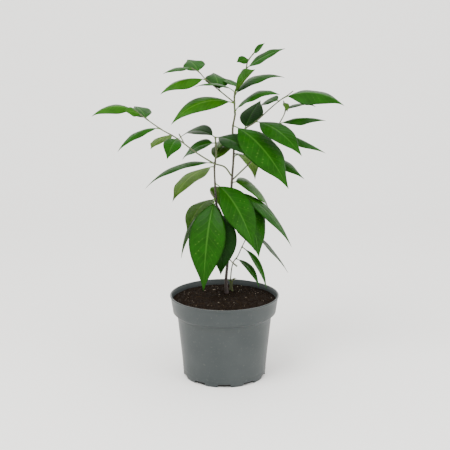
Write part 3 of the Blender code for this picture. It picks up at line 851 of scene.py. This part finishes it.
def build_plant():
    """All leaves in one piece, the green shoots in one and the bark of trunk and left stem in one."""
    limbs = {}
    for name, stem in {**LIMBS, **SHOOTS}.items():
        limbs[name] = Limb(stem, limbs)
    leaves = bmesh.new()
    uv = leaves.loops.layers.uv.new("leaf")
    twigs, bark = bmesh.new(), bmesh.new()
    seed = 1

    def dress(shape, limb, sides, rough, group, lit_tones):
        nonlocal seed
        add_tube(shape, limb, sides, [leaf.share for leaf in group], seed, rough)
        for leaf, lit_tone in zip(group, lit_tones):
            add_leaf(leaves, uv, leaf, limb, lit_tone, seed)
            seed += 1

    for name in LIMBS:
        dress(bark, limbs[name], BARK_SIDES, BARK_ROUGH, SINGLE_LEAVES[name].values(), LIT_TONES[name])
    for name in SHOOTS:
        dress(twigs, limbs[name], SHOOT_SIDES, TWIG_ROUGH, SHOOT_LEAVES[name], LIT_TONES[name])
        for stem in TWIGS.get(name, ()):
            places = [limbs[name].line.at(stem.share)[0], *(Vector(place) * MM for place in stem.route)]
            twig = Limb(Stem("", 0, tuple(place / MM for place in places), stem.foot, stem.tip), limbs)
            twig.cut = twig.line.at(0.0)[1]
            dress(twigs, twig, TWIG_SIDES, TWIG_ROUGH, TWIG_LEAVES[name], LIT_TONES.get(name + " twig", ""))

    # One material per tone for each side: lit and shaded copies of the leaf colours, painted light and
    # shade.
    tops = [leaf_material("leaf_top_" + lit_tone, *TOPS[lit_tone], 0.38) for lit_tone in LIT_TONE_ORDER]
    unders = [leaf_material("leaf_under_" + lit_tone, *UNDERS[lit_tone], 0.55) for lit_tone in LIT_TONE_ORDER]
    singles = [leaf for group in SINGLE_LEAVES.values() for leaf in group]
    finish_piece("leaves", leaves, tops + unders, [*singles, *SHOOTS])
    finish_piece("green_twigs", twigs, [twig_material()])
    finish_piece("bark_stems", bark, [stem_material()], list(LIMBS))


def build_pot():
    """The moulded pot, turned from its profile and then notched round the foot."""
    shape = bmesh.new()
    rings = []
    for radius, height in (*POT_OUTSIDE, *POT_INSIDE):
        ring = []
        for side in range(POT_SIDES):
            angle = 2 * pi * (side + 0.5) / POT_SIDES
            ring.append(shape.verts.new((radius * MM * cos(angle), radius * MM * sin(angle), height * MM)))
        rings.append(ring)
    for low, high in zip(rings, rings[1:]):
        join_rings(shape, low, high)
    shape.faces.new(list(reversed(rings[0])))
    shape.faces.new(rings[-1])
    pot = finish_piece("moulded_pot", shape, [pot_material()], ["pot"])

    cutter = notch_cutter()
    boolean = pot.modifiers.new("notches", "BOOLEAN")
    boolean.operation = "DIFFERENCE"
    boolean.solver = "EXACT"
    boolean.object = cutter
    bpy.context.view_layer.update()
    cut = bpy.data.meshes.new_from_object(pot.evaluated_get(bpy.context.evaluated_depsgraph_get()))
    pot.modifiers.clear()
    pot.data = cut
    bpy.data.objects.remove(cutter)


def notch_cutter():
    """A short bar for each drain notch, as one object."""
    cutters = bmesh.new()
    for number in range(NOTCHES):
        turn = -pi / 2 + 2 * pi * number / NOTCHES
        outward, across = Vector((cos(turn), sin(turn), 0.0)), Vector((-sin(turn), cos(turn), 0.0))
        ends = []
        for reach in NOTCH_REACH:
            ends.append([cutters.verts.new(outward * (reach * MM) + across * wide * MM + UP * high * MM)
                         for wide, high in NOTCH_OUTLINE])
        for face in join_rings(cutters, *ends):
            face.smooth = False
        cutters.faces.new(list(reversed(ends[0])))
        cutters.faces.new(ends[1])
    bmesh.ops.recalc_face_normals(cutters, faces=cutters.faces)
    mesh = bpy.data.meshes.new("notches")
    cutters.to_mesh(mesh)
    cutters.free()
    cutter = bpy.data.objects.new("notches", mesh)
    bpy.context.scene.collection.objects.link(cutter)
    return cutter


def soil_height(x, y):
    """Height of the compost: level, falling a little to the wall, and rough."""
    fall = min(max(((x * x + y * y) ** 0.5 - FALL_START) / FALL_WIDTH, 0.0), 1.0)
    level = SOIL_TOP - FALL_DEPTH * fall * fall * (3 - 2 * fall)
    rough = sum(noise.noise(Vector((x * scale, y * scale, layer))) * share
                for scale, layer, share in SOIL_GRAIN)
    return level + SOIL_ROUGH_MM * MM * rough * (1.0 - 0.5 * fall)


def build_soil():
    """The compost down to the pot's floor, and what lies loose on it."""
    shape = bmesh.new()
    rings = []
    for circle in range(1, SOIL_CIRCLES + 1):
        radius = SOIL_RADIUS_MM * MM * circle / SOIL_CIRCLES
        rings.append([])
        for spoke in range(SOIL_SPOKES):
            angle = 2 * pi * spoke / SOIL_SPOKES
            x, y = radius * cos(angle), radius * sin(angle)
            rings[-1].append(shape.verts.new((x, y, soil_height(x, y))))
    top = shape.verts.new((0, 0, soil_height(0, 0)))
    for radius, height in SOIL_WALL:
        rings.append([])
        for spoke in range(SOIL_SPOKES):
            angle = 2 * pi * spoke / SOIL_SPOKES
            place = (radius * MM * cos(angle), radius * MM * sin(angle), height * MM)
            rings[-1].append(shape.verts.new(place))
    for spoke in range(SOIL_SPOKES):
        after = (spoke + 1) % SOIL_SPOKES
        shape.faces.new((top, rings[0][spoke], rings[0][after])).smooth = True
        for inner, outer in zip(rings, rings[1:]):
            shape.faces.new((inner[spoke], outer[spoke], outer[after], inner[after])).smooth = True
    shape.faces.new(rings[-1])
    bmesh.ops.recalc_face_normals(shape, faces=shape.faces)
    dark = soil_material("compost_dark", rgb(0.0035, 0.0024, 0.0017), rgb(0.0158, 0.0105, 0.0070), 300.0)
    finish_piece("compost", shape, [dark], ["soil"])

    rule = random.Random(SCATTER_SEED)
    crumbs, pale = scattered_crumbs(rule)
    fibres = scattered_fibres(rule)
    brown = soil_material("crumb", rgb(0.0028, 0.0021, 0.0017), rgb(0.0210, 0.0133, 0.0084), 500.0)
    straw = soil_material("pale_bit", rgb(0.0960, 0.0720, 0.0480), rgb(0.2520, 0.2280, 0.1800), 500.0)
    peat = soil_material("fibre", rgb(0.0105, 0.0063, 0.0035), rgb(0.0385, 0.0245, 0.0123), 400.0)
    finish_piece("compost_crumbs", crumbs, [brown])
    finish_piece("compost_pale_bits", pale, [straw])
    finish_piece("compost_fibres", fibres, [peat])


def scattered_crumbs(rule):
    """Brown crumbs on the compost and, for one in PALE_EVERY, pale bits."""
    crumbs, pale = bmesh.new(), bmesh.new()
    for number in range(CRUMBS):
        radius, angle = CRUMB_REACH_MM * MM * rule.random() ** 0.5, rule.uniform(0, 2 * pi)
        x, y = radius * cos(angle), radius * sin(angle)
        light = number % PALE_EVERY == 0
        size = rule.uniform(*CRUMB_SIZE_MM) * MM * (PALE_SIZE if light else 1.0)
        made = bmesh.ops.create_icosphere(pale if light else crumbs, subdivisions=1, radius=size)["verts"]
        ranges = (CRUMB_STRETCH, CRUMB_STRETCH, CRUMB_HEIGHT)
        stretch = Vector([rule.uniform(*span) for span in ranges])
        spin = rule.uniform(0, pi)
        for vert in made:
            p = Vector((vert.co.x * stretch.x, vert.co.y * stretch.y, vert.co.z * stretch.z))
            p *= 1 + CRUMB_GRAIN * noise.noise(p * CRUMB_GRAIN_SCALE + Vector((number, 0, 0)))
            vert.co = Vector((p.x * cos(spin) - p.y * sin(spin) + x, p.x * sin(spin) + p.y * cos(spin) + y,
                              p.z + soil_height(x, y) + size * CRUMB_LIFT))
    return crumbs, pale


def scattered_fibres(rule):
    """Thin bent fibres that lie on the compost."""
    fibres = bmesh.new()
    for _ in range(FIBRES):
        radius, angle = FIBRE_REACH_MM * MM * rule.random() ** 0.5, rule.uniform(0, 2 * pi)
        x, y, turn = radius * cos(angle), radius * sin(angle), rule.uniform(0, 2 * pi)
        length, thick = rule.uniform(*FIBRE_LENGTH_MM) * MM, rule.uniform(*FIBRE_THICK_MM) * MM
        rings = []
        for _ in range(FIBRE_RINGS):
            turn += rule.uniform(-FIBRE_BEND, FIBRE_BEND)
            ahead = Vector((cos(turn), sin(turn), 0.0))
            across = Vector((-sin(turn), cos(turn), 0.0))
            lift = rule.uniform(0.0, FIBRE_LIFT_MM) * MM
            centre = Vector((x, y, soil_height(x, y) + thick + lift))
            ring = []
            for corner in range(FIBRE_CORNERS):
                angle = 2 * pi * corner / FIBRE_CORNERS
                ring.append(centre + across * thick * cos(angle) + UP * thick * sin(angle))
            rings.append(ring)
            x += ahead.x * length / (FIBRE_RINGS - 1)
            y += ahead.y * length / (FIBRE_RINGS - 1)
            if (x * x + y * y) ** 0.5 > FIBRE_LIMIT_MM * MM:
                break
        if len(rings) > 1:
            rings = [[fibres.verts.new(place) for place in ring] for ring in rings]
            for low, high in zip(rings, rings[1:]):
                join_rings(fibres, low, high)
            fibres.faces.new(list(reversed(rings[0])))
            fibres.faces.new(rings[-1])
    return fibres


def build_stage():
    """Pale paper: a floor that curves up into a back wall."""
    shape = bmesh.new()
    rows = [(-3.0, 0.0), (-1.0, 0.0), (SWEEP_START, 0.0)]
    for step in range(1, SWEEP_STEPS + 1):
        angle = step * pi / (2 * SWEEP_STEPS)
        rows.append((SWEEP_START + SWEEP_RADIUS * sin(angle), SWEEP_RADIUS - SWEEP_RADIUS * cos(angle)))
    rows.append((SWEEP_START + SWEEP_RADIUS, WALL_TOP))
    lines = [[shape.verts.new((x, y, z)) for x in (-STAGE_HALF, STAGE_HALF)] for y, z in rows]
    for low, high in zip(lines, lines[1:]):
        shape.faces.new((low[0], low[1], high[1], high[0])).smooth = True
    mesh = bpy.data.meshes.new("backdrop")
    shape.to_mesh(mesh)
    shape.free()
    mesh.materials.append(stage_material("paper", rgb(0.95, 0.945, 0.925)))
    backdrop = bpy.data.objects.new("backdrop", mesh)
    bpy.context.scene.collection.objects.link(backdrop)


def area_light(name, place, target, size, power, colour):
    """A round soft light at a place, turned to its target; lengths in metres, power in watts."""
    data = bpy.data.lights.new(name, "AREA")
    data.shape = "DISK"
    data.size = size
    data.energy = power
    data.color = colour
    made = bpy.data.objects.new(name, data)
    made.location = place
    made.rotation_euler = (Vector(target) - Vector(place)).to_track_quat("-Z", "Y").to_euler()
    bpy.context.scene.collection.objects.link(made)


def build_light_and_camera():
    """Light from all round, two soft lights, and the camera fitted to the photograph."""
    world = bpy.data.worlds.new("studio")
    world.use_nodes = True
    world.node_tree.nodes["Background"].inputs["Color"].default_value = rgb(1.0, 0.99, 0.975)
    world.node_tree.nodes["Background"].inputs["Strength"].default_value = WORLD_STRENGTH
    bpy.context.scene.world = world
    area_light("key", (-0.9, -1.1, 2.2), (0, 0, 0.3), 1.4, 56.0, (1.0, 0.99, 0.97))
    area_light("fill", (1.6, -1.0, 1.0), (0, 0, 0.25), 1.6, 20.0, (1.0, 1.0, 1.0))
    data = bpy.data.cameras.new("camera")
    data.lens = CAMERA_LENS
    data.sensor_width = CAMERA_SENSOR
    data.clip_start = 0.05
    camera = bpy.data.objects.new("camera", data)
    camera.location = CAMERA_PLACE
    camera.rotation_euler = (radians(90 - CAMERA_DIP), 0.0, 0.0)
    bpy.context.scene.collection.objects.link(camera)
    bpy.context.scene.camera = camera


build_pot()
build_soil()
build_plant()
build_stage()
build_light_and_camera()
